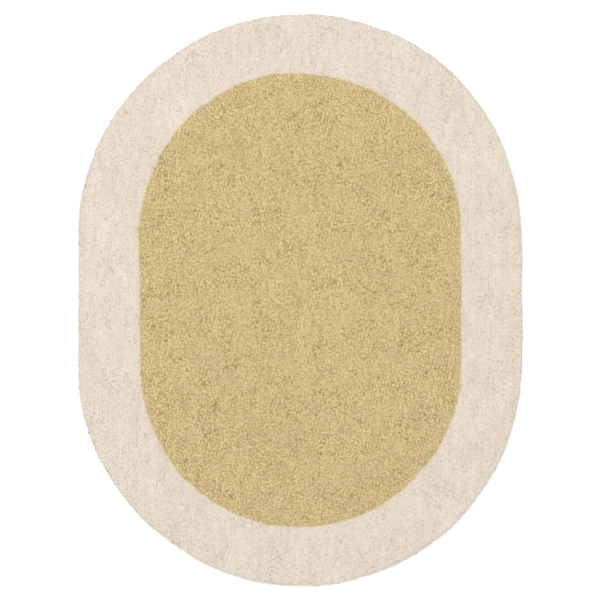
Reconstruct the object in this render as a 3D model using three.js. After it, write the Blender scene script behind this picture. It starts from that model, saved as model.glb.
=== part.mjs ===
// Oval kids' rug: short, dense pile in two colours, tufted through one ground cloth.
// Millimetres, +Z up. The rug lies flat on Z = 0 with its length along Y.
// Its outline is a stadium: two straight sides and two half-round ends.

import * as THREE from 'three';

// Sizes of the whole rug and of the field of ochre pile inside it
const RUG = { width: 1400, length: 1800 };
const FIELD = { width: 1012, length: 1430 };

// Heights: the cloth lies on the floor, and each pile stands on the cloth
const CLOTH_THICKNESS = 2.7;
const PIECE_GAP = 0.3;
const BORDER_PILE = 12.0;
const CENTRE_PILE = 14.5;
const PILE_FOOT = CLOTH_THICKNESS + PIECE_GAP;

// The pile leans out past the edge of its cloth by this much
const CLOTH_INSET = 5.0;

// Steps round the outline: along each half-round end, and along each straight side
const END_STEPS = 50;
const SIDE_STEPS = 10;
const STATIONS = 2 * (END_STEPS + SIDE_STEPS);

// Rings of points across the top of each pile
const BORDER_RINGS = 6;
const CENTRE_RINGS = 11;
const INNERMOST_RING = 40;

// Hand tufting leaves both outlines a little uneven: waves round the outline,
// each with its number of turns, its size in mm and where in the round it starts.
const RUG_WAVES = [
  { turns: 2, size: 1.2, start: 0.55 },
  { turns: 3, size: 1.5, start: 0.62 },
  { turns: 5, size: 1.2, start: 0.10 },
  { turns: 7, size: 1.0, start: 0.30 },
  { turns: 15, size: 0.8, start: 0.20 },
  { turns: 24, size: 0.6, start: 0.55 },
];
const FIELD_WAVES = [
  { turns: 3, size: 1.4, start: 0.25 },
  { turns: 5, size: 1.2, start: 0.70 },
  { turns: 6, size: 1.0, start: 0.05 },
  { turns: 11, size: 0.8, start: 0.45 },
  { turns: 16, size: 0.7, start: 0.90 },
  { turns: 24, size: 0.6, start: 0.30 },
];

// Two short dips in the ochre field's edge, on the far end and left of its middle:
// the heading seen from that end's centre, the depth and half the length, in mm.
const FIELD_DIPS = [
  { heading: 125, depth: 3.5, reach: 34 },
  { heading: 145, depth: 3.0, reach: 30 },
];

// Soft lumps of the pile's top: length of the wave, its heading, height and start
const LUMPS = [
  { length: 310, heading: 20, height: 0.45, start: 0.10 },
  { length: 240, heading: 105, height: 0.45, start: 0.55 },
  { length: 170, heading: 62, height: 0.35, start: 0.30 },
  { length: 150, heading: 150, height: 0.35, start: 0.85 },
];

// Sections of the pile's edges, from the foot up: how far in from the outline,
// and how high as a share of the pile. At the rim the outer tufts splay out and
// round over; where the two fields meet they press together and part at the top.
const RIM_SECTION = [
  { inset: 4.5, rise: 0.00 },
  { inset: 1.2, rise: 0.22 },
  { inset: 0.0, rise: 0.48 },
  { inset: 1.6, rise: 0.74 },
  { inset: 7.0, rise: 0.94 },
  { inset: 20.0, rise: 1.00 },
];
const MEETING_SECTION = [
  { inset: 0.0, rise: 0.00 },
  { inset: 0.0, rise: 0.60 },
  { inset: 2.5, rise: 0.86 },
  { inset: 10.0, rise: 1.00 },
];

const radians = THREE.MathUtils.degToRad;
const between = THREE.MathUtils.lerp;

// A stadium is every point at one distance from a straight spine. Each station
// holds its place along the spine (-1 to 1) and its direction out from it.
function stationAt(step) {
  const half = step % (END_STEPS + SIDE_STEPS);
  const turned = step >= END_STEPS + SIDE_STEPS ? Math.PI : 0;
  const side = Math.min(half / SIDE_STEPS, 1);
  const round = Math.max(half - SIDE_STEPS, 0) / END_STEPS;
  return {
    along: (turned ? -1 : 1) * (2 * side - 1),
    heading: turned + round * Math.PI,
    turn: step / STATIONS,
  };
}

function stations() {
  return Array.from({ length: STATIONS }, (_, step) => stationAt(step));
}

function waveAt(waves, turn) {
  return waves.reduce((sum, wave) => sum
    + wave.size * Math.cos(2 * Math.PI * (wave.turns * turn - wave.start)), 0);
}

// How much of the dips is felt at a station. Each fades to nothing at its reach.
function dipAt(station, radius) {
  return FIELD_DIPS.reduce((sum, dip) => {
    const away = Math.abs(station.heading - radians(dip.heading)) * radius / dip.reach;
    return sum + (away < 1 ? dip.depth * (0.5 + 0.5 * Math.cos(Math.PI * away)) : 0);
  }, 0);
}

// The two uneven outlines, as a half-spine and a radius for each station
function rugEdge(station) {
  const radius = RUG.width / 2;
  return {
    spine: RUG.length / 2 - radius,
    radius: radius + waveAt(RUG_WAVES, station.turn),
  };
}

function fieldEdge(station) {
  const radius = FIELD.width / 2;
  return {
    spine: FIELD.length / 2 - radius,
    radius: radius + waveAt(FIELD_WAVES, station.turn) - dipAt(station, radius),
  };
}

// A point at a station, offset outwards from an edge
function pointFrom(station, edge, offset) {
  const reach = edge.radius + offset;
  return new THREE.Vector2(
    reach * Math.cos(station.heading),
    edge.spine * station.along + reach * Math.sin(station.heading),
  );
}

function lumpAt(point) {
  return LUMPS.reduce((sum, lump) => {
    const heading = radians(lump.heading);
    const gone = point.x * Math.cos(heading) + point.y * Math.sin(heading);
    return sum + lump.height * Math.sin(2 * Math.PI * (gone / lump.length - lump.start));
  }, 0);
}

// A point of a pile: its place, and its height as a share of the pile
function pileTop(point, pile, rise) {
  const height = rise * pile + rise ** 3 * lumpAt(point);
  return new THREE.Vector3(point.x, point.y, PILE_FOOT + height);
}

// One ring of points round the rug for each row of an edge's section. Positive
// outward is an edge seen from inside the pile, negative one seen from outside.
function sectionLoops(section, edgeOf, outward, pile) {
  return section.map(({ inset, rise }) => stations().map((station) => {
    const offset = -outward * (inset + (edgeOf === fieldEdge ? PIECE_GAP / 2 : 0));
    return pileTop(pointFrom(station, edgeOf(station), offset), pile, rise);
  }));
}

// Rings across the border's top, between the field's edge and the rim
function borderTopLoops() {
  const innerInset = PIECE_GAP / 2 + MEETING_SECTION.at(-1).inset;
  const outerInset = RIM_SECTION.at(-1).inset;
  return Array.from({ length: BORDER_RINGS }, (_, ring) => stations().map((station) => {
    const share = (ring + 1) / (BORDER_RINGS + 1);
    const inner = pointFrom(station, fieldEdge(station), innerInset);
    const outer = pointFrom(station, rugEdge(station), -outerInset);
    return pileTop(inner.lerp(outer, share), BORDER_PILE, 1);
  }));
}

// Rings across the centre's top, from its edge in towards the spine
function centreTopLoops() {
  const inset = PIECE_GAP / 2 + MEETING_SECTION.at(-1).inset;
  return Array.from({ length: CENTRE_RINGS }, (_, ring) => stations().map((station) => {
    const edge = fieldEdge(station);
    const share = (ring + 1) / CENTRE_RINGS;
    const radius = between(edge.radius - inset, INNERMOST_RING, share);
    const point = pointFrom(station, { spine: edge.spine, radius }, 0);
    return pileTop(point, CENTRE_PILE, 1);
  }));
}

// Triangles that cover the inside of one ring of points
function capFaces(loop, first) {
  const flat = loop.map(({ x, y }) => new THREE.Vector2(x, y));
  return THREE.ShapeUtils.triangulateShape(flat, [])
    .map((face) => face.map((corner) => corner + first));
}

// A closed skin over rings of points. The rings either close on themselves
// across the section, or end in a cap at the bottom and at the top.
function skinOf(loops, closedSection) {
  const faces = [];
  const spans = closedSection ? loops.length : loops.length - 1;
  for (let row = 0; row < spans; row += 1) {
    const here = row * STATIONS;
    const next = ((row + 1) % loops.length) * STATIONS;
    for (let step = 0; step < STATIONS; step += 1) {
      const beside = (step + 1) % STATIONS;
      faces.push([here + step, here + beside, next + beside]);
      faces.push([here + step, next + beside, next + step]);
    }
  }
  if (!closedSection) {
    const bottom = capFaces(loops[0], 0);
    faces.push(...bottom.map(([a, b, c]) => [c, b, a]));
    faces.push(...capFaces(loops.at(-1), (loops.length - 1) * STATIONS));
  }
  const geometry = new THREE.BufferGeometry();
  const points = loops.flat().flatMap((point) => point.toArray());
  geometry.setAttribute('position', new THREE.Float32BufferAttribute(points, 3));
  geometry.setIndex(faces.flat());
  geometry.computeVertexNormals();
  return geometry;
}

// The cloth is cut to the rug's outline, a little inside the pile's reach
function groundClothGeometry() {
  const outline = stations()
    .map((station) => pointFrom(station, rugEdge(station), -CLOTH_INSET));
  return new THREE.ExtrudeGeometry(new THREE.Shape(outline), {
    depth: CLOTH_THICKNESS,
    bevelEnabled: false,
  });
}

// The cream ring: up its rim, across its top to the field, and down again
function borderPileGeometry() {
  const rim = sectionLoops(RIM_SECTION, rugEdge, 1, BORDER_PILE);
  const top = borderTopLoops().reverse();
  const meeting = sectionLoops(MEETING_SECTION, fieldEdge, -1, BORDER_PILE).reverse();
  return skinOf([...rim, ...top, ...meeting], true);
}

// The ochre field: up its edge and across its top, with a flat foot
function centrePileGeometry() {
  const edge = sectionLoops(MEETING_SECTION, fieldEdge, 1, CENTRE_PILE);
  return skinOf([...edge, ...centreTopLoops()], false);
}

function fabric(red, green, blue) {
  const color = new THREE.Color().setRGB(red / 255, green / 255, blue / 255, THREE.SRGBColorSpace);
  return new THREE.MeshStandardMaterial({ color, roughness: 0.95, metalness: 0 });
}

function piece(name, geometry, material) {
  const mesh = new THREE.Mesh(geometry, material);
  mesh.name = name;
  return mesh;
}

const CREAM = fabric(229, 216, 200);
const OCHRE = fabric(205, 182, 131);
const NATURAL_COTTON = fabric(217, 205, 182);

const rug = new THREE.Group();
rug.add(piece('ground_cloth', groundClothGeometry(), NATURAL_COTTON));
rug.add(piece('border_pile', borderPileGeometry(), CREAM));
rug.add(piece('centre_pile', centrePileGeometry(), OCHRE));

// The uneven outline is set so that the middle of its box is on the origin
const middle = new THREE.Box3().setFromObject(rug).getCenter(new THREE.Vector3());
rug.position.set(-middle.x, -middle.y, 0);

export default rug;
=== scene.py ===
# %% [markdown]
# An oval kids' rug with short pile in two colours
#
# The real rug is yarn, stitched in close rows through one flat ground cloth: a wide cream
# border and an ochre centre. The first step loads the rug's plain solids. They are a fixed
# frame in metres, with the rug flat on Z = 0 and its length along Y, and every soft piece
# that follows is made to sit where one of them does.

# %% Load the solids
from collections import namedtuple

import bpy
import numpy as np
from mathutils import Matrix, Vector


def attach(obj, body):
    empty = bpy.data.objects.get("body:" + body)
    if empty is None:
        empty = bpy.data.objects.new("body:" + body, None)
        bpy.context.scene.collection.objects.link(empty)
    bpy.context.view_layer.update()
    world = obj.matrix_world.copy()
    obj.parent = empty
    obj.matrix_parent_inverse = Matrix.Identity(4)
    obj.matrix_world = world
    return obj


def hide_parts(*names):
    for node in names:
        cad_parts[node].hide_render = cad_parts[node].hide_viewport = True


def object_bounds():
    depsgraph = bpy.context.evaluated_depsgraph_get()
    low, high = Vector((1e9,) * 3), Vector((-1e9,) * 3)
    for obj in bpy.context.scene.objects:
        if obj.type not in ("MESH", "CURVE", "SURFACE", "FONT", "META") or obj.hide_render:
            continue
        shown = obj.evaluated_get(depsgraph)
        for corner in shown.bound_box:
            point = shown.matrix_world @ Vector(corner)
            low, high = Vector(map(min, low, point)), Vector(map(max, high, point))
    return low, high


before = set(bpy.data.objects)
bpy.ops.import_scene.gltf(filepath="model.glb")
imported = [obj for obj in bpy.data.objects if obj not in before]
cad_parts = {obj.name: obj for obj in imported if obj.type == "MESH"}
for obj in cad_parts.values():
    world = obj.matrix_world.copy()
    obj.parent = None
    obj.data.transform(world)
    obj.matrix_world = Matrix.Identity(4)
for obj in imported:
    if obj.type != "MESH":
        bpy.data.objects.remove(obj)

MM = 0.001
scene = bpy.context.scene
solid_low, solid_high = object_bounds()
print("solids:", sorted(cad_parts), "box:", solid_low, solid_high)

# %% [markdown]
# Camera
#
# The photograph looks straight down on the rug from far away, so that the oval shows no
# perspective at its rim. A long lens gives that. The camera's height follows from how many
# pixels the rug's length takes in the photograph, and its place from where the rug's middle
# is there.

# %% Camera straight above
RUG_LENGTH = 1.800
PHOTO_PIXELS = 600
RUG_LENGTH_PIXELS = 572.0
RUG_MIDDLE_PIXELS = 300.4
LENS_MM = 85.0
SENSOR_MM = 36.0

photo_width = PHOTO_PIXELS * RUG_LENGTH / RUG_LENGTH_PIXELS
aside = (RUG_MIDDLE_PIXELS - PHOTO_PIXELS / 2) * photo_width / PHOTO_PIXELS
camera_data = bpy.data.cameras.new("camera")
camera_data.lens = LENS_MM
camera_data.sensor_width = SENSOR_MM
camera = bpy.data.objects.new("camera", camera_data)
camera.location = (-aside, 0.0, solid_high.z + photo_width * LENS_MM / SENSOR_MM)
scene.collection.objects.link(camera)
scene.camera = camera
print(f"the photograph is {photo_width:.3f} m wide, and the camera {camera.location.z:.2f} m up")

# %% [markdown]
# Light
#
# The rug is shown on plain white, in light so soft that it throws hardly a shadow. A white
# world lights it from all sides, as the walls of a studio do. One large lamp up and to the
# left gives the tufts a brighter and a darker side. The standard view transform keeps white
# white, where a filmic one would turn it grey.

# %% White world and one large lamp
WORLD_STRENGTH = 1.00
LAMP_POWER = 50.0
LAMP_SIZE = 2.5
LAMP_PLACE = (-0.5, 0.9, 4.0)

scene.view_settings.view_transform = "Standard"
world = bpy.data.worlds.new("studio")
world.use_nodes = True
background = world.node_tree.nodes["Background"]
background.inputs["Color"].default_value = (1.0, 1.0, 1.0, 1.0)
background.inputs["Strength"].default_value = WORLD_STRENGTH
scene.world = world

lamp_data = bpy.data.lights.new("lamp", "AREA")
lamp_data.energy = LAMP_POWER
lamp_data.size = LAMP_SIZE
lamp = bpy.data.objects.new("lamp", lamp_data)
lamp.location = LAMP_PLACE
lamp.rotation_euler = (-Vector(LAMP_PLACE)).to_track_quat("-Z", "Y").to_euler()
scene.collection.objects.link(lamp)
print(f"a lamp {LAMP_SIZE} m across, {Vector(LAMP_PLACE).length:.1f} m from the rug's middle")

# %% [markdown]
# Floor
#
# The rug lies on a plain white floor, so wide that it ends only in a faint horizon, however
# low one looks from. Round the rug it is lit so well that it looks as white as the world.
# One large face is enough for it. Its material is matt, with no gloss at all.

# %% Plain white floor
FLOOR_WHITE = 0.93
FLOOR_SIZE = 60.0

half = FLOOR_SIZE / 2
floor_mesh = bpy.data.meshes.new("floor")
corners = [(-half, -half, 0), (half, -half, 0), (half, half, 0), (-half, half, 0)]
floor_mesh.from_pydata(corners, [], [(0, 1, 2, 3)])
floor = bpy.data.objects.new("floor", floor_mesh)
scene.collection.objects.link(floor)

floor_material = bpy.data.materials.new("floor_white")
floor_material.use_nodes = True
floor_shader = floor_material.node_tree.nodes["Principled BSDF"]
floor_shader.inputs["Base Color"].default_value = (FLOOR_WHITE, FLOOR_WHITE, FLOOR_WHITE, 1.0)
floor_shader.inputs["Roughness"].default_value = 1.0
floor_shader.inputs["Specular IOR Level"].default_value = 0.0
floor_mesh.materials.append(floor_material)
print(f"the floor is {FLOOR_SIZE:.0f} m wide")

# %% [markdown]
# The rug's outlines
#
# Each outline is a stadium: every point at one distance from a straight spine. Tufting by
# hand leaves it slightly wavy, so a short table adds waves: how often each goes up and down
# in one turn round the rug, its size in millimetres, and where it starts. Two short dips
# sit in the ochre field's edge. The tables are those of the solids, so that the soft
# pieces and the solids have one outline.

# %% Outlines as tables
Wave = namedtuple("Wave", "turns size start")
Dip = namedtuple("Dip", "heading depth reach")
Oval = namedtuple("Oval", "width length waves dips")

RUG = Oval(
    width=1.400,
    length=RUG_LENGTH,
    waves=[
        Wave(turns=2, size=1.2, start=0.55),
        Wave(turns=3, size=1.5, start=0.62),
        Wave(turns=5, size=1.2, start=0.10),
        Wave(turns=7, size=1.0, start=0.30),
        Wave(turns=15, size=0.8, start=0.20),
        Wave(turns=24, size=0.6, start=0.55),
    ],
    dips=[],
)
FIELD = Oval(
    width=1.012,
    length=1.430,
    waves=[
        Wave(turns=3, size=1.4, start=0.25),
        Wave(turns=5, size=1.2, start=0.70),
        Wave(turns=6, size=1.0, start=0.05),
        Wave(turns=11, size=0.8, start=0.45),
        Wave(turns=16, size=0.7, start=0.90),
        Wave(turns=24, size=0.6, start=0.30),
    ],
    dips=[
        Dip(heading=125, depth=3.5, reach=34),
        Dip(heading=145, depth=3.0, reach=30),
    ],
)
print(f"the border is {(RUG.width - FIELD.width) / 2 / MM:.0f} mm wide at the sides")

# %% [markdown]
# How deep a spot lies inside an outline
#
# A stadium makes this an easy question: take the nearest point of the spine, and compare
# the distance to it with the outline's radius there. Written for arrays, it is answered
# for all the tufts at once. Places round the rug are counted in shares of a turn: a twelfth
# for each straight side, and five twelfths for each half-round end.

# %% Radius and depth
SIDE_TURN = 1 / 12
END_TURN = 5 / 12


def edge_radius(oval, heading, turn):
    """The outline's distance from the spine, for headings in radians and shares of a turn."""
    radius = oval.width / 2 + np.zeros_like(heading)
    for wave in oval.waves:
        radius += wave.size * MM * np.cos(2 * np.pi * (wave.turns * turn - wave.start))
    for dip in oval.dips:
        gap = np.abs(heading - np.radians(dip.heading)) * oval.width / 2
        away = np.minimum(gap / (dip.reach * MM), 1.0)
        radius -= dip.depth * MM * (0.5 + 0.5 * np.cos(np.pi * away))
    return radius


def spine_half(oval):
    return (oval.length - oval.width) / 2


def depth_inside(oval, x, y):
    """How deep each spot lies inside the outline. Outside it is less than nought."""
    spine_y = np.clip(y, -spine_half(oval), spine_half(oval))
    heading = np.arctan2(y - spine_y, x) % (2 * np.pi)
    second_half = heading >= np.pi
    along = np.where(second_half, -spine_y, spine_y) / spine_half(oval)
    turn = 0.5 * second_half + SIDE_TURN * (along + 1) / 2
    turn += END_TURN * (heading - np.pi * second_half) / np.pi
    return edge_radius(oval, heading, turn) - np.hypot(x, y - spine_y)


depth = depth_inside(RUG, np.array([0.0, 0.5]), np.array([0.0, 0.0]))
print(f"the middle lies {depth[0]:.3f} m deep, and a spot half a metre aside {depth[1]:.3f} m")

# %% [markdown]
# Walking round an outline
#
# The rows along the outlines need spots at an even pitch. The outline is first drawn with
# thousands of points, and the way gone along it is added up. Then any number of spots can
# be read off at equal steps, each moved a little at random. A ragged row also steps in and
# out, each tuft by itself and every three together, as hand tufting does.

# %% Spots along an outline
FINE_STEPS = 4801
PITCH_STRAY = 0.3
STEP_ALONE = 0.6
STEP_IN_THREES = 0.8


def station(turn):
    """Heading out from the spine, and place along it from -1 to 1, at shares of a turn."""
    second_half = turn % 1.0 >= 0.5
    part = turn % 0.5
    along = 2 * np.minimum(part / SIDE_TURN, 1.0) - 1
    heading = np.maximum(part - SIDE_TURN, 0.0) / END_TURN * np.pi
    return heading + np.pi * second_half, np.where(second_half, -along, along)


def offset_points(oval, inset, turn):
    """Points on the outline, moved in by inset, and their headings."""
    heading, along = station(turn)
    reach = edge_radius(oval, heading, turn) - inset
    return reach * np.cos(heading), spine_half(oval) * along + reach * np.sin(heading), heading


def outline(oval, inset, pitch, ragged=0.0, seed=1):
    """Spots about a pitch apart along the outline, moved in by inset, and their headings."""
    rng = np.random.default_rng(seed)
    fine = offset_points(oval, inset, np.linspace(0.0, 1.0, FINE_STEPS))
    steps = np.hypot(np.diff(fine[0]), np.diff(fine[1]))
    gone = np.concatenate([[0.0], np.cumsum(steps)])
    count = round(gone[-1] / pitch)
    stray = rng.uniform(-PITCH_STRAY, PITCH_STRAY, count)
    spots = (np.arange(count) + stray) / count * gone[-1] % gone[-1]
    x, y, heading = (np.interp(spots, gone, values) for values in fine)
    alone = rng.normal(0, STEP_ALONE, count)
    threes = rng.normal(0, STEP_IN_THREES, count).repeat(3)[:count]
    step = ragged * (alone + threes)
    return x + step * np.cos(heading), y + step * np.sin(heading), heading


rim_x, rim_y, _ = outline(RUG, 0.0, 2 * MM)
MIDDLE_X = (rim_x.max() + rim_x.min()) / 2
MIDDLE_Y = (rim_y.max() + rim_y.min()) / 2
print(f"the rug is {np.ptp(rim_x):.4f} by {np.ptp(rim_y):.4f} m over its pile")

# %% [markdown]
# Unevenness
#
# Nothing in a rug is regular: the pile leans, crowds and parts in soft patches. A sum of
# plane waves with random headings gives such patches, smooth and of one rough size, and
# its slope comes from the same sum. Every random number is drawn from a fixed seed, so
# that the rug comes out the same each time.

# %% Soft patches from plane waves
PLANE_WAVES = 24
STRETCH_RANGE = (0.4, 1.6)


def patches(x, y, size, seed):
    """A soft random field of about unit size, and its slope in x and y, times size / 2 pi."""
    rng = np.random.default_rng(seed)
    total, slope_x, slope_y = np.zeros_like(x), np.zeros_like(x), np.zeros_like(x)
    for _ in range(PLANE_WAVES):
        heading, start = rng.uniform(0, 2 * np.pi, 2)
        stretch = rng.uniform(*STRETCH_RANGE)
        phase = 2 * np.pi * stretch * (x * np.cos(heading) + y * np.sin(heading)) / size + start
        total += np.sin(phase)
        slope_x += np.cos(phase) * stretch * np.cos(heading)
        slope_y += np.cos(phase) * stretch * np.sin(heading)
    unit = np.sqrt(2 / PLANE_WAVES)
    return total * unit, slope_x * unit, slope_y * unit


sample, _, _ = patches(np.linspace(0, 1, 1000), np.zeros(1000), 20 * MM, 1)
print(f"patches run from {sample.min():.1f} to {sample.max():.1f} along one metre")

# %% [markdown]
# Lumps of the pile's top
#
# Seen low from the side, the top of the pile isn't a plane: it rises and falls by about a
# millimetre over a hand's breadth. Four long waves do that. They are the waves of the
# solids, so that the tufts stand as high as the solids do everywhere.

# %% Long waves
Lump = namedtuple("Lump", "length heading height start")
LUMPS = [
    Lump(length=310, heading=20, height=0.45, start=0.10),
    Lump(length=240, heading=105, height=0.45, start=0.55),
    Lump(length=170, heading=62, height=0.35, start=0.30),
    Lump(length=150, heading=150, height=0.35, start=0.85),
]


def lump_height(x, y):
    height = np.zeros_like(x)
    for lump in LUMPS:
        heading = np.radians(lump.heading)
        gone = (x * np.cos(heading) + y * np.sin(heading)) / (lump.length * MM)
        height += lump.height * MM * np.sin(2 * np.pi * (gone - lump.start))
    return height


print(f"the lumps reach {lump_height(rim_x, rim_y).max() / MM:.1f} mm along the rim")

# %% [markdown]
# Two ways to lie
#
# Both yarns are tufted alike, and lie differently. The cream yarn is thick and stands close
# and even, so its rows show as faint lines. The ochre yarn is thinner and curly: its tufts
# flop to and fro, gather in nubs, and leave dark specks where they part. One small table
# for each pile keeps this apart from the code that uses it: how high the pile is, how far
# apart the rows and the tufts are, how far they stray, how wide a tuft is, how strong and
# large the nubs are, how far a tuft flops, how uneven the tips are, and what share of the
# tufts is missing.

# %% A table for each pile
LIE_VALUES = "pile row_pitch tuft_pitch jitter wide nub nub_size flop uneven missing"
Lie = namedtuple("Lie", LIE_VALUES)
CENTRE_LIE = Lie(
    pile=14.5 * MM,
    row_pitch=6.1 * MM,
    tuft_pitch=5.2 * MM,
    jitter=1.3 * MM,
    wide=7.8 * MM,
    nub=1.0 * MM,
    nub_size=16 * MM,
    flop=1.2 * MM,
    uneven=0.80 * MM,
    missing=0.020,
)
BORDER_LIE = Lie(
    pile=12.0 * MM,
    row_pitch=7.8 * MM,
    tuft_pitch=6.0 * MM,
    jitter=1.1 * MM,
    wide=15.4 * MM,
    nub=0.7 * MM,
    nub_size=22 * MM,
    flop=0.6 * MM,
    uneven=0.18 * MM,
    missing=0.006,
)
for title, lie in (("ochre", CENTRE_LIE), ("cream", BORDER_LIE)):
    density = (10 * MM) ** 2 / (lie.row_pitch * lie.tuft_pitch)
    print(f"{title}: {density:.1f} tufts to the square centimetre")

# %% [markdown]
# Where the tufts stand
#
# The rug is tufted in straight rows along its length. Rows that cross the oval at a slant
# would leave a stepped edge, so the maker runs extra rows along both outlines, and the
# straight rows stop short of them. The same is done here: a grid of straight rows over the
# whole rug, of which each pile keeps the spots where it has room. A row wanders a little on
# its way. Its neighbours do so by themselves, because the field that moves them changes
# several times faster across the rows than along them.

# %% Straight rows
EDGE_PITCH = 5.8 * MM
EDGE_INSET = 4.2 * MM
EDGE_ROOM = EDGE_INSET + 0.5 * EDGE_PITCH
ROW_WANDER = 0.7 * MM
WANDER_SIZE = 120 * MM
TIMES_FASTER_ACROSS = 4
SPARE_ROWS = 3
CENTRE_GRID_SEED = 11
BORDER_GRID_SEED = 21


def straight_rows(lie, seed):
    """Spots of straight rows over the rug's whole box, a little uneven."""
    rng = np.random.default_rng(seed)
    rows = int(RUG.width / lie.row_pitch) + SPARE_ROWS
    steps = int(RUG.length / lie.tuft_pitch) + SPARE_ROWS
    row, step = np.meshgrid(np.arange(rows), np.arange(steps), indexing="ij")
    x = (row - (rows - 1) / 2) * lie.row_pitch
    y = (step - (steps - 1) / 2) * lie.tuft_pitch + rng.uniform(0, lie.tuft_pitch, (rows, 1))
    wander, _, _ = patches(x * TIMES_FASTER_ACROSS, y, WANDER_SIZE, seed + 1)
    x = x + ROW_WANDER * wander + rng.normal(0, lie.jitter, x.shape)
    y = y + rng.normal(0, lie.jitter, x.shape)
    return x.ravel(), y.ravel()


x, y = straight_rows(CENTRE_LIE, CENTRE_GRID_SEED)
room = depth_inside(FIELD, x, y) > EDGE_ROOM
centre_spots = x[room], y[room]

x, y = straight_rows(BORDER_LIE, BORDER_GRID_SEED)
room = (depth_inside(RUG, x, y) > EDGE_ROOM) & (depth_inside(FIELD, x, y) < -EDGE_ROOM)
border_spots = x[room], y[room]
print("spots in straight rows:", len(centre_spots[0]), "ochre,", len(border_spots[0]), "cream")

# %% [markdown]
# One tuft
#
# A tuft is a small bundle of yarn, cut off level and fluffed at its end: narrow at the
# foot, fullest below the top, and rounded over. Seen from above, one ring of seven points
# between a foot and a tip is enough for it, because smooth shading rounds it, and the rug
# has tens of thousands. The tufts of the rim are seen from the side as well, so they get
# three rings. Each ring says how far up the tuft it lies, how wide the tuft is there, and
# how far out the ring goes in the flat map that the tuft gets further on.

# %% A tuft as rings of points
Ring = namedtuple("Ring", "up wide spread")
Form = namedtuple("Form", "rings corners")
PILE_FORM = Form(rings=[Ring(up=0.81, wide=1.00, spread=0.34)], corners=7)
RIM_FORM = Form(
    rings=[
        Ring(up=0.08, wide=0.80, spread=0.42),
        Ring(up=0.52, wide=1.00, spread=0.30),
        Ring(up=0.88, wide=0.66, spread=0.16),
    ],
    corners=6,
)


def tuft_faces(form):
    """The triangles of one tuft: its tip, its sides, and last its foot."""
    corner = np.arange(form.corners)
    beside = (corner + 1) % form.corners
    tip = len(form.rings) * form.corners
    top = tip - form.corners
    parts = [np.stack([top + corner, top + beside, np.full_like(corner, tip)], 1)]
    for low in range(0, top, form.corners):
        high = low + form.corners
        parts.append(np.stack([low + corner, low + beside, high + beside], 1))
        parts.append(np.stack([low + corner, high + beside, high + corner], 1))
    parts.append(np.stack([beside, corner, np.full_like(corner, tip + 1)], 1))
    return np.concatenate(parts)


for form in (PILE_FORM, RIM_FORM):
    print("a tuft with", len(form.rings), "rings has", len(tuft_faces(form)), "triangles")

# %% [markdown]
# The points of many tufts
#
# An object for each tuft would bring Blender to a halt, and hair has no body when it is
# this short and thick. So thousands of tufts are joined in one mesh, worked out with arrays
# that hold one number for each tuft. Every tuft has its own place, height, width, turn, lean
# and tone, and is slightly oval. It bends over more towards its tip, so the lean grows
# faster than the height.

# %% Points of many tufts
Tufts = namedtuple("Tufts", "x y foot top wide lean_x lean_y tone")
BEND_POWER = 1.6
TIP_LEAN = 1.1
OVAL_CHANGE = 0.16
CORNER_REACH = (0.9, 1.1)


def join_tufts(parts):
    return Tufts(*(np.concatenate(values) for values in zip(*parts)))


def pick_tufts(tufts, wanted):
    return Tufts(*(values[wanted] for values in tufts))


def tuft_points(tufts, form, rng):
    """An array of tufts by points by three."""
    count = len(tufts.x)
    turn = rng.uniform(0, 2 * np.pi, count)
    oval = np.exp(rng.normal(0, OVAL_CHANGE, count))
    points = np.empty((count, len(form.rings) * form.corners + 2, 3))
    for number, ring in enumerate(form.rings):
        bend = ring.up**BEND_POWER
        for corner in range(form.corners):
            heading = turn + 2 * np.pi * corner / form.corners
            reach = tufts.wide / 2 * ring.wide * rng.uniform(*CORNER_REACH, count)
            place = points[:, number * form.corners + corner]
            place[:, 0] = tufts.x + tufts.lean_x * bend + reach * oval * np.cos(heading)
            place[:, 1] = tufts.y + tufts.lean_y * bend + reach / oval * np.sin(heading)
            place[:, 2] = tufts.foot + (tufts.top - tufts.foot) * ring.up
    points[:, -2, 0] = tufts.x + tufts.lean_x * TIP_LEAN
    points[:, -2, 1] = tufts.y + tufts.lean_y * TIP_LEAN
    points[:, -2, 2] = tufts.top
    points[:, -1] = np.stack([tufts.x, tufts.y, tufts.foot], 1)
    points -= (MIDDLE_X, MIDDLE_Y, 0.0)
    return points


one = Tufts(*np.zeros((len(Tufts._fields), 1)))
one = one._replace(top=one.top + 14 * MM, wide=one.wide + 8 * MM, lean_x=one.lean_x + 2 * MM)
box = np.ptp(tuft_points(one, PILE_FORM, np.random.default_rng(1))[0], axis=0)
print("a tuft that leans 2 mm has a box of", np.round(box / MM, 1), "mm")

# %% [markdown]
# A map for each tuft
#
# A material can leave Blender only as a baked picture, and that needs a UV map. Unwrapping
# this many loose bits is slow and wastes most of the picture, so the map is made together
# with the mesh. Each tuft has a small square of its own, like a flower seen from above: its
# tip in the middle, its rings round it, and the triangles of its foot as petals outside.

# %% The map
FOOT_SPREAD = 0.48


def circle_points(corners, spread, turned=0.0):
    heading = 2 * np.pi * (np.arange(corners) + turned) / corners
    return spread * np.stack([np.cos(heading), np.sin(heading)], 1)


def tuft_map(count, form):
    """The UV of every corner of every triangle, each tuft in its own square."""
    across = int(np.ceil(np.sqrt(count)))
    number = np.arange(count)
    middle = np.stack([number % across, number // across], 1) + 0.5
    rings = [circle_points(form.corners, ring.spread) for ring in form.rings]
    spots = np.concatenate([*rings, np.zeros((2, 2))])
    corners = spots[tuft_faces(form)]
    corners[-form.corners :, 2] = circle_points(form.corners, FOOT_SPREAD, 0.5)
    return (middle[:, None, None, :] + corners[None]) / across


print("a map of 100 tufts has the shape", tuft_map(100, PILE_FORM).shape)
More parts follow.
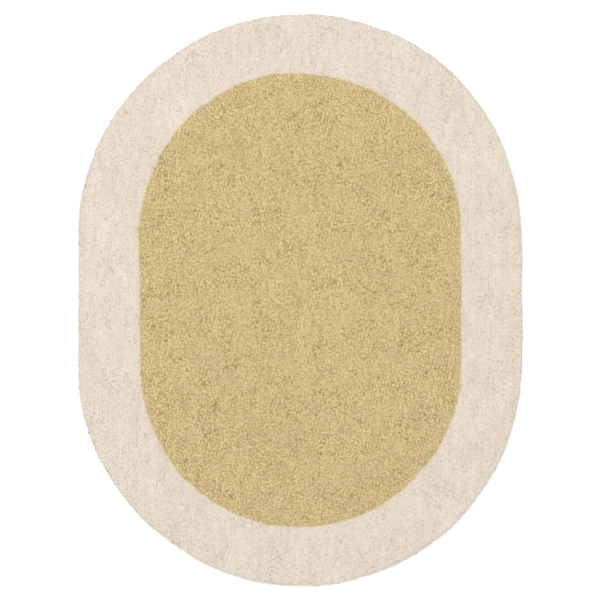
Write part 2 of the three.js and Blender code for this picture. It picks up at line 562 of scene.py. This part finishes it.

# %% [markdown]
# One mesh of many tufts
#
# Blender takes a mesh fastest from flat arrays, through foreach_set. Two values are kept
# on every point for the material to read: the tuft's tone, random with a dark tail of
# painted shade, and how far up the tuft the point lies. Every face is shaded smooth, which
# rounds the few corners of each tuft.

# %% Build a mesh of tufts


def triangle_mesh(name, points, faces):
    """A smooth mesh from arrays of points and triangles."""
    mesh = bpy.data.meshes.new(name)
    mesh.vertices.add(len(points))
    mesh.vertices.foreach_set("co", points.astype(np.float32).ravel())
    mesh.loops.add(faces.size)
    mesh.loops.foreach_set("vertex_index", faces.astype(np.int32).ravel())
    mesh.polygons.add(len(faces))
    mesh.polygons.foreach_set("loop_start", np.arange(0, faces.size, 3, dtype=np.int32))
    mesh.polygons.foreach_set("use_smooth", np.ones(len(faces), bool))
    return mesh


def keep_on_points(mesh, name, values):
    attribute = mesh.attributes.new(name, "FLOAT", "POINT")
    attribute.data.foreach_set("value", values.astype(np.float32))


def tuft_mesh(name, tufts, seed, form=PILE_FORM):
    """One object of many tufts."""
    points = tuft_points(tufts, form, np.random.default_rng(seed))
    count, each, _ = points.shape
    faces = (np.arange(count)[:, None, None] * each + tuft_faces(form)[None]).reshape(-1, 3)
    mesh = triangle_mesh(name, points.reshape(-1, 3), faces)
    up = np.append(np.repeat([ring.up for ring in form.rings], form.corners), (1.0, 0.0))
    # the tone is random, with a dark tail of painted shade between tufts
    keep_on_points(mesh, "tuft_tone_and_shade", np.repeat(tufts.tone, each))
    keep_on_points(mesh, "tuft_up", np.tile(up, count))
    layer = mesh.uv_layers.new(name="OFBake")
    layer.uv.foreach_set("vector", tuft_map(count, form).astype(np.float32).ravel())
    mesh.update()
    mesh.validate()
    piece = bpy.data.objects.new(name, mesh)
    scene.collection.objects.link(piece)
    print(f"{name}: {count} tufts, {len(faces)} triangles")
    return piece


TRIANGLES_IN_A_MESH = 200_000
most = TRIANGLES_IN_A_MESH // len(tuft_faces(PILE_FORM))
print(f"a mesh of {TRIANGLES_IN_A_MESH} triangles holds at most {most} tufts of the pile")

# %% [markdown]
# Rough and calm patches
#
# Feet and folding leave some parts of a pile rougher than others, a hand's breadth across.
# A soft field says how rough the pile is at each spot: about one as a rule, up to three in
# the wildest places, and under a half in the calmest. Next to the meeting line of the two
# yarns the tufts hold each other up, so the pile is calmer there.

# %% How rough the pile is
ROUGH_SIZE = 95 * MM
ROUGH_POWER = 0.7
CALMEST = 0.3
ROUGHEST = 3.0
SEAM_CALM = 0.4
CALM_EDGE = 45 * MM
CENTRE_SEED = 100


def roughness(x, y, seed):
    """How rough the pile is at each spot, about one as a rule."""
    field, _, _ = patches(x, y, ROUGH_SIZE, seed)
    rough = np.clip(np.exp(ROUGH_POWER * field), CALMEST, ROUGHEST)
    from_seam = np.minimum(np.abs(depth_inside(FIELD, x, y)) / CALM_EDGE, 1.0)
    return rough * (SEAM_CALM + (1 - SEAM_CALM) * from_seam)


rough = roughness(*centre_spots, CENTRE_SEED + 2)
print(f"the ochre pile's roughness runs from {rough.min():.2f} to {rough.max():.2f}")

# %% [markdown]
# How each tuft lies
#
# Curly tufts flop to and fro and gather in nubs, with dark specks where they part. Tufts
# that lean up the slope of a patchy field gather on its crests and part in its hollows,
# which is just that. A tuft that leans a lot stands lower, and here and there one is
# missing. Each tuft also gets a tone at random: most are slightly lighter than the yarn's
# mean colour and a few much darker. That spread is drawn as shadows between real tufts are
# spread, so the dark tail is painted shade, and all of the tone swings further where the
# pile is rough. Tufts at an edge have less room on one side, so they splay out over it.

# %% Lay the tufts
PILE_FOOT = 3.0 * MM
TUFT_FOOT = PILE_FOOT + 0.2 * MM
SUNK = 0.6 * MM
TALLEST = 1.6 * MM
BEND_DROP = 0.25
MOST_BENT = 0.8 * MM
DARKEST_TONE = -2.7
TONE_RANGE = (0.6, 1.35)
LEAN_AT_EDGE = 0.5
SPLAY_RANGE = (0.3, 1.7)
CREST_LIMIT = 2.5
TOP_SCATTER = 0.6
WIDE_RANGE = (0.88, 1.12)
BORDER_SEED = 200


def lay_tufts(x, y, lie, seed, out=None, splay=0.0, drop=0.0):
    """Tufts at these spots. In an edge row they splay towards out, and none is missing."""
    rng = np.random.default_rng(seed)
    count = len(x)
    crest, slope_x, slope_y = patches(x, y, lie.nub_size, seed + 1)
    rough = roughness(x, y, seed + 2)
    lean_x = lie.nub * rough * slope_x + rng.normal(0, lie.flop, count)
    lean_y = lie.nub * rough * slope_y + rng.normal(0, lie.flop, count)
    if out is not None:
        splay = splay * rng.uniform(*SPLAY_RANGE, count)
        lean_x = LEAN_AT_EDGE * lean_x + splay * np.cos(out)
        lean_y = LEAN_AT_EDGE * lean_y + splay * np.sin(out)
    top = PILE_FOOT + lie.pile - drop + lump_height(x, y)
    crest = np.clip(rough * crest, -CREST_LIMIT, CREST_LIMIT)
    top += lie.uneven * (crest + rng.normal(0, TOP_SCATTER, count))
    top -= np.minimum(BEND_DROP * np.hypot(lean_x, lean_y), MOST_BENT) + SUNK
    top = np.minimum(top, PILE_FOOT + lie.pile + TALLEST)
    foot = np.full(count, TUFT_FOOT)
    wide = lie.wide * rng.uniform(*WIDE_RANGE, count)
    # random tone, whose dark tail is painted shade between tufts, swinging further where rough
    tone = np.maximum(1.0 - rng.exponential(1.0, count), DARKEST_TONE)
    tone *= np.clip(np.sqrt(rough), *TONE_RANGE)
    tufts = Tufts(x, y, foot, top, wide, lean_x, lean_y, tone)
    if out is not None:
        return tufts
    return pick_tufts(tufts, rng.random(count) > lie.missing * rough)


centre_rows = lay_tufts(*centre_spots, CENTRE_LIE, CENTRE_SEED)
border_rows = lay_tufts(*border_spots, BORDER_LIE, BORDER_SEED)
for title, rows in (("ochre", centre_rows), ("cream", border_rows)):
    lean = np.hypot(rows.lean_x, rows.lean_y).mean() / MM
    print(f"{title}: {len(rows.x)} tufts in rows, leaning {lean:.1f} mm on average")

# %% [markdown]
# The ochre field
#
# One more row runs along the edge of the field. It is stitched by eye, so it steps in and
# out by a millimetre or two, and its tufts fall a little over the lower cream pile beside
# them. They stand closer than elsewhere, which keeps the line between the yarns clean. The
# field is then cut into four strips with the same number of tufts, so that no single mesh
# is too heavy.

# %% Tufts of the ochre field
FIELD_EDGE_PITCH = 4.4 * MM
FIELD_EDGE_SEED = 110
CENTRE_SHAPE_SEED = 400
STRIPS = ("left", "near_left", "near_right", "right")

x, y, heading = outline(FIELD, EDGE_INSET, FIELD_EDGE_PITCH, ragged=1.8 * MM)
centre_edge = lay_tufts(
    x, y, CENTRE_LIE, FIELD_EDGE_SEED, out=heading, splay=2.0 * MM, drop=1.6 * MM
)
centre = join_tufts([centre_rows, centre_edge])

cuts = np.quantile(centre.x, np.linspace(0, 1, len(STRIPS) + 1))
cuts[-1] = np.inf
centre_pieces = []
for number, side in enumerate(STRIPS):
    strip = pick_tufts(centre, (centre.x >= cuts[number]) & (centre.x < cuts[number + 1]))
    piece = tuft_mesh(f"centre_tufts_{side}", strip, CENTRE_SHAPE_SEED + number)
    centre_pieces.append(piece)

# %% [markdown]
# The cream border
#
# The border has a row of its own along the meeting line, on the far side of it. That row
# stands upright against the taller ochre tufts, so it hardly splays. Its tufts are slimmer
# than the rest of the border's, or they would push up between the ochre ones as pale
# specks. The border is cut into a left and a right half.

# %% Tufts of the cream border
MEETING_LIE = BORDER_LIE._replace(wide=11.0 * MM)
MEETING_INSET = -3.2 * MM
MEETING_SEED = 210
BORDER_SHAPE_SEED = 500

x, y, heading = outline(FIELD, MEETING_INSET, EDGE_PITCH, ragged=1.0 * MM, seed=3)
meeting = lay_tufts(x, y, MEETING_LIE, MEETING_SEED, out=heading, splay=0.4 * MM, drop=0.2 * MM)
border = join_tufts([border_rows, meeting])
left_half = pick_tufts(border, border.x < 0)
right_half = pick_tufts(border, border.x >= 0)
border_pieces = [
    tuft_mesh("border_tufts_left", left_half, BORDER_SHAPE_SEED),
    tuft_mesh("border_tufts_right", right_half, BORDER_SHAPE_SEED + 1),
]

# %% [markdown]
# The rim
#
# At the rim nothing holds the tufts in, so they splay out over the cloth's edge, and one
# sees their sides. Two rows make it: an upper one, and one that is cut 3 mm lower and
# fills in beneath. The tufts here are slimmer, because a row of thick ones would give the
# rug a scalloped edge.

# %% Tufts of the rim
RIM_LIE = BORDER_LIE._replace(wide=8.2 * MM)
UPPER_INSET = EDGE_INSET + 0.6 * MM
UPPER_SEED = 300
LOWER_SEED = 310

x, y, heading = outline(RUG, UPPER_INSET, EDGE_PITCH, ragged=0.7 * MM)
upper = lay_tufts(x, y, RIM_LIE, UPPER_SEED, out=heading, splay=1.0 * MM, drop=0.3 * MM)
x, y, heading = outline(RUG, EDGE_INSET, EDGE_PITCH, ragged=0.7 * MM, seed=2)
lower = lay_tufts(x, y, RIM_LIE, LOWER_SEED, out=heading, splay=1.2 * MM, drop=3.2 * MM)
rim = join_tufts([upper, lower])
border_pieces.append(tuft_mesh("rim_tufts", rim, BORDER_SHAPE_SEED + 2, RIM_FORM))

# %% [markdown]
# Slabs from rings of points
#
# Under the tufts lie three slabs: the woven cloth, and a bed of yarn for each pile. Each is
# built from rings of points round the oval, every ring at its own inset and height. Joining
# neighbouring rings with quads gives a closed skin that follows the outline exactly. A slab
# could be cut from a grid too, but its edge would then be stepped.

# %% Rings and skins
STATIONS = 480


def ring_points(oval, inset, height, lumpy=False):
    """A ring of points round the rug at this inset and height."""
    x, y, _ = offset_points(oval, inset, np.arange(STATIONS) / STATIONS)
    z = height + lumpy * lump_height(x, y)
    return np.stack([x - MIDDLE_X, y - MIDDLE_Y, z], 1)


def skin(name, rings, closed_section=False):
    """A closed mesh over the rings: a tube if its section closes, or else capped."""
    faces = []
    for row in range(len(rings) if closed_section else len(rings) - 1):
        here = row * STATIONS
        there = (row + 1) % len(rings) * STATIONS
        for step in range(STATIONS):
            beside = (step + 1) % STATIONS
            faces.append((here + step, here + beside, there + beside, there + step))
    if not closed_section:
        last = (len(rings) - 1) * STATIONS
        faces.append(tuple(range(STATIONS))[::-1])
        faces.append(tuple(range(last, last + STATIONS)))
    mesh = bpy.data.meshes.new(name)
    mesh.from_pydata(np.concatenate(rings).tolist(), [], faces)
    mesh.polygons.foreach_set("use_smooth", [len(face) == 4 for face in faces])
    mesh.update()
    piece = bpy.data.objects.new(name, mesh)
    scene.collection.objects.link(piece)
    print(f"{name}: {len(rings)} rings, {len(faces)} faces")
    return piece


step = np.linalg.norm(np.diff(ring_points(RUG, 0.0, 0.0)[:2], axis=0)) / MM
print(f"along the rim the points of a ring are {step:.0f} mm apart")

# %% [markdown]
# The cream bed
#
# Between the tufts one looks down on more yarn and never on the cloth. A slab of yarn a
# little lower than the tips gives that depth, and keeps light from leaking through the
# pile. It rises and falls with the same lumps as the tufts, or it would swallow them in
# the hollows. The cream bed is a ring, closed across its section: a side that bellies out
# under the rim's tufts, the top, and a plain side with a small shoulder where the ochre
# pile begins.

# %% Bed of the border
BORDER_BED = 0.79
BED_SHOULDER = 0.6 * MM
BED_GAP = 0.1 * MM
MEETING_SHOULDER = 1.0 * MM
FOOT_INSET = 5.0 * MM
BELLY_INSET = 3.2 * MM
BELLY_DROP = 3.0 * MM
BRIM_INSET = 4.6 * MM
RINGS_ACROSS_BORDER = 11


def rings_between(outer, inner, height, steps):
    """Rings spread evenly between outer and inner, each lumpy about this height."""
    rings = [outer + (inner - outer) * share for share in np.linspace(0, 1, steps + 2)[1:-1]]
    for ring in rings:
        ring[:, 2] = height + lump_height(ring[:, 0] + MIDDLE_X, ring[:, 1] + MIDDLE_Y)
    return rings


bed_top = PILE_FOOT + BORDER_BED * BORDER_LIE.pile
bed_rim = [
    ring_points(RUG, FOOT_INSET, PILE_FOOT),
    ring_points(RUG, BELLY_INSET, bed_top - BELLY_DROP),
    ring_points(RUG, BRIM_INSET, bed_top, lumpy=True),
]
bed_meeting = [
    ring_points(FIELD, -MEETING_SHOULDER, bed_top, lumpy=True),
    ring_points(FIELD, -BED_GAP, bed_top - BED_SHOULDER),
    ring_points(FIELD, -BED_GAP, PILE_FOOT),
]
bed_across = rings_between(bed_rim[-1], bed_meeting[0], bed_top, RINGS_ACROSS_BORDER)
# the cream bed takes the colour set low in the pile, a trace of painted light
cream_bed = skin("border_bed", [*bed_rim, *bed_across, *bed_meeting], closed_section=True)

# %% [markdown]
# The ochre bed
#
# The ochre bed fills the ring. It lies lower below its tips than the cream one does,
# because the curly yarn stands more open, and one sees deeper into it. Neither bed has
# values for tone or height up a tuft, so both take on the colour set low in the pile:
# painted shade on the ochre bed, and a trace of painted light on the cream one.

# %% Bed of the centre
CENTRE_BED = 0.60
RINGS_ACROSS_CENTRE = 18
INNERMOST_RING = 30 * MM

bed_top = PILE_FOOT + CENTRE_BED * CENTRE_LIE.pile
bed_edge = [
    ring_points(FIELD, BED_GAP, PILE_FOOT),
    ring_points(FIELD, BED_GAP, bed_top - BED_SHOULDER),
]
deepest = FIELD.width / 2 - INNERMOST_RING
insets = np.linspace(MEETING_SHOULDER, deepest, RINGS_ACROSS_CENTRE)
bed_across = [ring_points(FIELD, inset, bed_top, lumpy=True) for inset in insets]
# the ochre bed takes the colour set low in the pile, painted shade
ochre_bed = skin("centre_bed", [*bed_edge, *bed_across])

# %% [markdown]
# The ground cloth
#
# The ground cloth is a plain weave of undyed cotton, cut with a margin of 25 mm all round.
# The maker turns that margin under and glues it down, so that no raw edge shows at the rim.
# The margin is the same cloth, so it is part of the same mesh: the rug rests on that flat
# band, and the rest of the underside lies a little higher. Finished, the cloth ends 5 mm
# inside the rim, because the outer tufts lean out over it.

# %% Cloth with its edge turned under
CLOTH_THICKNESS = 2.7 * MM
CLOTH_INSET = 5.0 * MM
TURN_UNDER = 25.0 * MM
CLOTH_LAYER = 0.8 * MM
MARGIN_STEP = 0.6 * MM

inner_edge = CLOTH_INSET + TURN_UNDER
cloth = skin(
    "ground_cloth_woven",
    [
        ring_points(RUG, inner_edge + MARGIN_STEP, CLOTH_LAYER),
        ring_points(RUG, inner_edge, 0.0),
        ring_points(RUG, CLOTH_INSET + CLOTH_LAYER, 0.0),
        ring_points(RUG, CLOTH_INSET, CLOTH_LAYER),
        ring_points(RUG, CLOTH_INSET, CLOTH_THICKNESS - CLOTH_LAYER),
        ring_points(RUG, CLOTH_INSET + CLOTH_LAYER, CLOTH_THICKNESS),
    ],
)

# %% [markdown]
# Helpers for node groups
#
# A finish that more than one material uses is best kept as a node group: a small tree with
# named inputs and outputs, built once. Adding a node, setting it up and wiring it takes
# many lines, so one helper does all three, and feeds each input with a plain value or with
# the output of another node.

# %% Add a node, add a group
Socket = bpy.types.NodeSocket


def add_node(tree, kind, inputs, **settings):
    """A node with these settings, its inputs fed by plain values or by other sockets."""
    node = tree.nodes.new(kind)
    for setting, value in settings.items():
        setattr(node, setting, value)
    for name, value in inputs.items():
        if isinstance(value, Socket):
            tree.links.new(value, node.inputs[name])
        else:
            node.inputs[name].default_value = value
    return node


def math_node(tree, operation, first, second=0.0):
    return add_node(tree, "ShaderNodeMath", {0: first, 1: second}, operation=operation).outputs[0]


def new_group(name, inputs, outputs):
    """An empty node group with these sockets: rows of name and type."""
    group = bpy.data.node_groups.new(name, "ShaderNodeTree")
    for socket, kind in inputs:
        group.interface.new_socket(socket, in_out="INPUT", socket_type=kind)
    for socket, kind in outputs:
        group.interface.new_socket(socket, in_out="OUTPUT", socket_type=kind)
    return group, group.nodes.new("NodeGroupInput").outputs, group.nodes.new("NodeGroupOutput")


def object_place(tree, stretch=(1.0, 1.0, 1.0)):
    """Where a point lies in metres, scaled by stretch along each axis."""
    place = add_node(tree, "ShaderNodeTexCoord", {}).outputs["Object"]
    scaled = add_node(tree, "ShaderNodeVectorMath", {0: place, 1: stretch}, operation="MULTIPLY")
    return scaled.outputs[0]


def noise_node(tree, place, scale, detail=2.0):
    """Soft noise from 0 to 1, with patches one over scale across."""
    inputs = {"Vector": place, "Scale": scale, "Detail": detail}
    return add_node(tree, "ShaderNodeTexNoise", inputs).outputs["Fac"]


print("node groups before:", len(bpy.data.node_groups))

# %% [markdown]
# Yarn's colour, with painted light and shade
#
# A dyed yarn's colour shifts at random from tuft to tuft. Light and shade are painted over
# it as well: a few much darker tufts as painted shade between tufts, soft patches of
# painted light and shade where the pile leans different ways, and a fine grain of painted
# light and shade where its fibres catch the light. Low in the pile the ochre yarn is painted
# darker and warmer, as shade between its tufts, and the cream one a trace lighter, as
# painted light. One node group makes all of that, and both piles use it with values of
# their own. It reads the tone and height kept on the points. The patches are twice as long
# along the rows as across them.

# %% The group for yarn's colour
# sizes of the soft patches of painted light and shade
NEAR_PATCH = 20 * MM
FAR_PATCH = 90 * MM
FAR_SHARE = 0.7
TWICE_AS_LONG = (1.0, 0.5, 1.0)


def kept_value(tree, name):
    return add_node(tree, "ShaderNodeAttribute", {}, attribute_name=name).outputs["Fac"]


def soft_cloud(tree):
    """Small and large patches together, about as often above nought as below."""
    place = object_place(tree, TWICE_AS_LONG)
    near = noise_node(tree, place, 1 / NEAR_PATCH)
    far = math_node(tree, "MULTIPLY", noise_node(tree, place, 1 / FAR_PATCH), FAR_SHARE)
    both = math_node(tree, "ADD", near, far)
    return math_node(tree, "SUBTRACT", both, 0.5 * (1 + FAR_SHARE))


def yarn_colour_and_light_group():
    """Yarn's colour: random tone, and painted light and shade by tuft, patch, grain and depth."""
    colours = [(name, "NodeSocketColor") for name in ("Yarn", "Deep Painted Shade And Light", "Fade")]
    amounts = ("Tuft Tone And Painted Shade", "Patch Painted Light And Shade", "Grain Painted Light And Shade", "Grain Scale")
    numbers = [(name, "NodeSocketFloat") for name in amounts]
    group, given, made = new_group(
        "yarn colour and painted light", colours + numbers, [("Color", "NodeSocketColor")]
    )
    # a fine grain of painted light and shade, where fibres catch the light
    noise = noise_node(group, object_place(group), given["Grain Scale"])
    grain = math_node(group, "SUBTRACT", noise, 0.5)
    # tone by tuft: random, with a dark tail of painted shade between tufts
    by_tuft = math_node(group, "MULTIPLY", kept_value(group, "tuft_tone_and_shade"), given["Tuft Tone And Painted Shade"])
    # soft patches of painted light and shade, where the pile leans different ways
    by_patch = math_node(group, "MULTIPLY", soft_cloud(group), given["Patch Painted Light And Shade"])
    by_grain = math_node(group, "MULTIPLY", grain, given["Grain Painted Light And Shade"])
    change = math_node(group, "ADD", math_node(group, "ADD", by_tuft, by_patch), by_grain)
    # low in the pile: painted shade for the ochre, a trace of painted light for the cream
    up = kept_value(group, "tuft_up")
    sides = {"Factor": up, "A": given["Deep Painted Shade And Light"], "B": given["Yarn"]}
    depth = add_node(group, "ShaderNodeMix", sides, data_type="RGBA").outputs["Result"]
    # a tint for each change of tone and of painted light and shade
    terms = {0: given["Fade"], 1: change, 2: depth}
    toned_and_shaded = add_node(group, "ShaderNodeVectorMath", terms, operation="MULTIPLY_ADD")
    group.links.new(toned_and_shaded.outputs[0], made.inputs["Color"])
    return group


YARN_COLOUR_AND_PAINTED_LIGHT = yarn_colour_and_light_group()
print("yarn colour and painted light has", len(YARN_COLOUR_AND_PAINTED_LIGHT.nodes), "nodes")

# %% [markdown]
# Yarn's fibres
#
# Up close a tuft is a brush of fibres, in wisps about a millimetre and a half wide. They are
# too fine for the mesh, so a second group gives their height for a bump. Its noise is drawn
# out along the height, because the fibres run up the tuft.

# %% The group for fibres
FIBRE_SIZE = 1.6 * MM
DRAWN_OUT = (1.0, 1.0, 0.35)


def fibre_group():
    """The height of fine fibres that run up the tufts."""
    group, _, made = new_group("yarn fibres", [], [("Height", "NodeSocketFloat")])
    place = object_place(group, DRAWN_OUT)
    height = noise_node(group, place, 1 / FIBRE_SIZE, detail=3.0)
    group.links.new(height, made.inputs["Height"])
    return group


FIBRES = fibre_group()
print("yarn fibres has", len(FIBRES.nodes), "nodes")

# %% [markdown]
# The two yarns
#
# Cotton has no gloss of its own, so the shader is fully rough, with little specular light
# and a touch of sheen for the fuzz. The colours are what the photograph shows, with the
# light taken out. Low in the pile, and in tufts, patches and grain, painted light and shade
# are laid back over them. A darker spot of yarn, of random tone and of painted shade alike,
# is also a warmer one: a tint says how much each of red, green and blue changes.

# %% Cream and ochre yarn
FIBRE_HEIGHT = 0.9 * MM
COTTON_SPECULAR = 0.15
FUZZ_WEIGHT = 0.15
FUZZ_ROUGHNESS = 0.6


def matt_material(name):
    """A material whose shader is matt, as all cotton is."""
    material = bpy.data.materials.new(name)
    material.use_nodes = True
    shader = material.node_tree.nodes["Principled BSDF"]
    shader.inputs["Roughness"].default_value = 1.0
    shader.inputs["Specular IOR Level"].default_value = COTTON_SPECULAR
    return material, shader


def link_bump(tree, shader, height, distance):
    bump = add_node(tree, "ShaderNodeBump", {"Height": height, "Distance": distance})
    tree.links.new(bump.outputs["Normal"], shader.inputs["Normal"])


def yarn_material(name, yarn, deep, tone_and_shade_tint, tuft_tone_and_painted_shade, patch_painted_light_and_shade, grain_painted_light_and_shade, grain_size):
    material, shader = matt_material(name)
    shader.inputs["Sheen Weight"].default_value = FUZZ_WEIGHT
    shader.inputs["Sheen Roughness"].default_value = FUZZ_ROUGHNESS
    values = {
        "Yarn": (*yarn, 1.0),
        "Deep Painted Shade And Light": (*deep, 1.0),
        "Fade": (*tone_and_shade_tint, 1.0),
        "Tuft Tone And Painted Shade": tuft_tone_and_painted_shade,
        "Patch Painted Light And Shade": patch_painted_light_and_shade,
        "Grain Painted Light And Shade": grain_painted_light_and_shade,
        "Grain Scale": 1 / grain_size,
    }
    tree = material.node_tree
    colour = tree.nodes.new("ShaderNodeGroup")
    colour.node_tree = YARN_COLOUR_AND_PAINTED_LIGHT
    for socket, value in values.items():
        colour.inputs[socket].default_value = value
    tree.links.new(colour.outputs["Color"], shader.inputs["Base Color"])
    fibres = add_node(tree, "ShaderNodeGroup", {}, node_tree=FIBRES)
    link_bump(tree, shader, fibres.outputs["Height"], FIBRE_HEIGHT)
    return material


CREAM = yarn_material(
    "cream_yarn",
    yarn=(0.692, 0.609, 0.516),
    # deep: a trace of painted light, low in the cream pile
    deep=(0.706, 0.622, 0.530),
    tone_and_shade_tint=(0.70, 0.66, 0.76),
    # random tone with a dark tail of painted shade, and patches and grain of painted light and
    # shade
    tuft_tone_and_painted_shade=0.036,
    patch_painted_light_and_shade=0.20,
    grain_painted_light_and_shade=0.14,
    grain_size=6.5 * MM,
)
OCHRE = yarn_material(
    "ochre_yarn",
    yarn=(0.660, 0.524, 0.272),
    # deep: painted shade, darker and warmer, low in the ochre pile
    deep=(0.562, 0.430, 0.196),
    tone_and_shade_tint=(0.64, 0.59, 0.40),
    # random tone with a dark tail of painted shade, and patches and grain of painted light and
    # shade
    tuft_tone_and_painted_shade=0.105,
    patch_painted_light_and_shade=0.14,
    grain_painted_light_and_shade=0.60,
    grain_size=3.2 * MM,
)
print("yarn materials:", CREAM.name, OCHRE.name)

# %% [markdown]
# A plain weave
#
# In a plain weave each thread goes over one and under the next. A chequer pattern says
# which of the two threads lies on top in each little square, and half a wave across that
# thread gives its round back. The group puts out that height for a bump, and a colour with
# painted shade in the hollows between the threads.

# %% The group for the weave
THREAD = 1.5 * MM
PRESSED_FLAT = (1.0, 1.0, 0.0)


def thread_back(tree, ordinate):
    """Height across threads: nought between them, one on their backs."""
    phase = math_node(tree, "MULTIPLY", ordinate, np.pi / THREAD)
    return math_node(tree, "ABSOLUTE", math_node(tree, "SINE", phase))


def weave_group():
    """The height of a plain weave, and a colour with painted shade in its hollows."""
    group, given, made = new_group(
        "plain weave",
        [("Cotton", "NodeSocketColor"), ("Hollow Shade", "NodeSocketColor")],
        [("Color", "NodeSocketColor"), ("Height", "NodeSocketFloat")],
    )
    place = object_place(group, PRESSED_FLAT)
    axes = add_node(group, "ShaderNodeSeparateXYZ", {0: place}).outputs
    squares = add_node(group, "ShaderNodeTexChecker", {"Vector": place, "Scale": 1 / THREAD})
    threads = {
        "Factor": squares.outputs["Fac"],
        "A": thread_back(group, axes["X"]),
        "B": thread_back(group, axes["Y"]),
    }
    height = add_node(group, "ShaderNodeMix", threads).outputs["Result"]
    # painted shade in the hollows between the threads
    sides = {"Factor": height, "A": given["Hollow Shade"], "B": given["Cotton"]}
    colour = add_node(group, "ShaderNodeMix", sides, data_type="RGBA").outputs["Result"]
    group.links.new(colour, made.inputs["Color"])
    group.links.new(height, made.inputs["Height"])
    return group


WEAVE = weave_group()
print("plain weave has", len(WEAVE.nodes), "nodes")

# %% [markdown]
# Undyed cotton
#
# The cloth is left undyed, so it is a warm off-white, a little darker than the cream yarn.
# It shows only from the side and from below, but it gets its real weave all the same.

# %% Cotton of the ground cloth
WEAVE_HEIGHT = 0.3 * MM
THREAD_COLOUR = (0.70, 0.61, 0.47, 1.0)
# the colour of the painted shade in the weave's hollows
HOLLOW_SHADE_COLOUR = (0.45, 0.38, 0.27, 1.0)

COTTON, cotton_shader = matt_material("natural_cotton")
colours = {"Cotton": THREAD_COLOUR, "Hollow Shade": HOLLOW_SHADE_COLOUR}
weave = COTTON.node_tree.nodes.new("ShaderNodeGroup")
weave.node_tree = WEAVE
for socket, value in colours.items():
    weave.inputs[socket].default_value = value
COTTON.node_tree.links.new(weave.outputs["Color"], cotton_shader.inputs["Base Color"])
link_bump(COTTON.node_tree, cotton_shader, weave.outputs["Height"], WEAVE_HEIGHT)
print("the cloth has", round(10 * MM / THREAD, 1), "threads to the centimetre")

# %% [markdown]
# Each piece on its solid
#
# The fixed frame knows three solids: the cloth and the two piles. Every new piece says
# which of them it stands for, which hides that solid, and which finish it takes. The rug
# has no joint, so all of it rides on the one body.

# %% Place the pieces on the frame
PLACES = {
    "border_pile": (CREAM, [*border_pieces, cream_bed]),
    "centre_pile": (OCHRE, [*centre_pieces, ochre_bed]),
    "ground_cloth": (COTTON, [cloth]),
}
for node, (material, pieces) in PLACES.items():
    for piece in pieces:
        piece.data.materials.append(material)
        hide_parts(node)
        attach(piece, "root")
    print(node, "is shown by", len(pieces), "pieces in", material.name)
